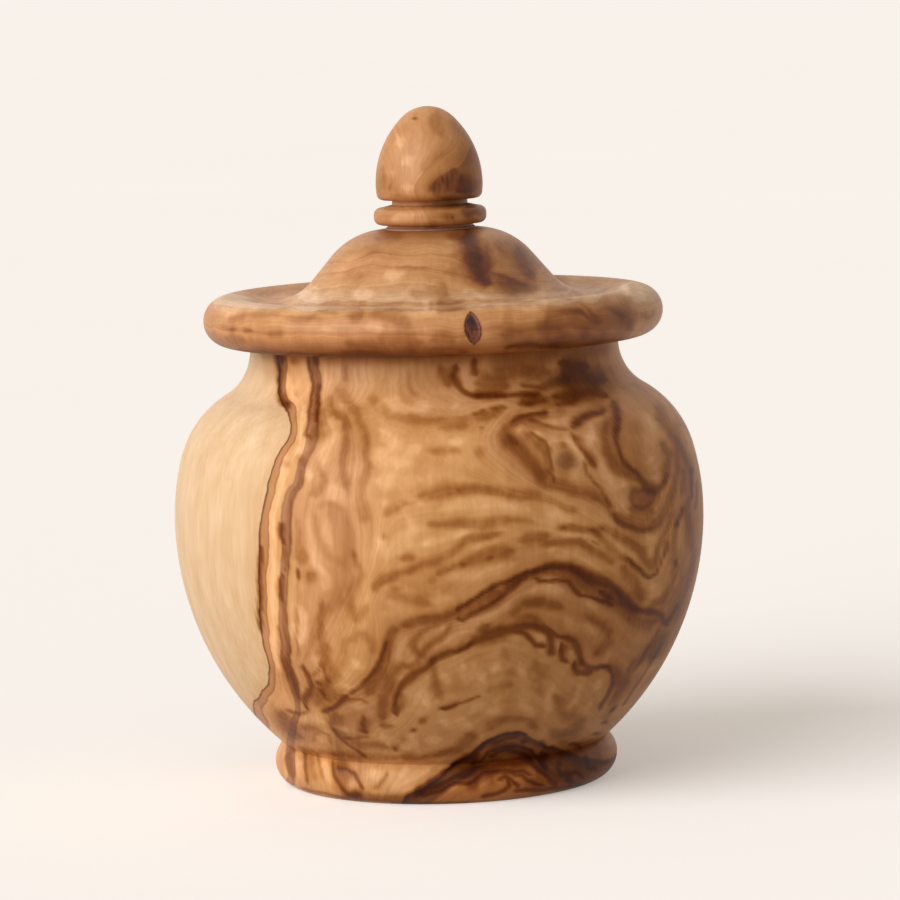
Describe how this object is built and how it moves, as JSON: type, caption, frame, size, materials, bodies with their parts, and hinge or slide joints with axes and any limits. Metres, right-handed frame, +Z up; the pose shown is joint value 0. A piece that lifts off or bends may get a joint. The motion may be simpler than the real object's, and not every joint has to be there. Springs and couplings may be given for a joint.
{
  "type": "spice jar",
  "caption": "Round-bellied turned wooden jar on a foot ring, with a loose domed lid, a wide rounded flange and an egg-shaped knob.",
  "frame": {"origin": "centre of the face that the foot rests on", "axes": "+Z up along the axis the jar was turned about; -Y is the side in the picture; +X to its right"},
  "size_m": [0.0944, 0.0944, 0.12],
  "materials": {
    "pot_wood": "oiled olive wood, satin, honey brown with dark figure and pale sapwood on one side",
    "lid_wood": "oiled olive wood, satin, with a knot on the edge",
    "knob_wood": "oiled olive wood, satin",
    "dowel_wood": "bare fluted hardwood",
    "glue": "dried wood glue, pale"
  },
  "bodies": {
    "pot": {"pot": "pot_wood"},
    "lid": {"lid": "lid_wood", "knob": "knob_wood", "knob_dowel": "dowel_wood", "knob_glue": "glue"}
  },
  "joints": [
    {"name": "lid_lift", "type": "slide", "parent": "pot", "child": "lid", "axis": [0, 0, 1], "range_m": [0, 0.06]}
  ]
}
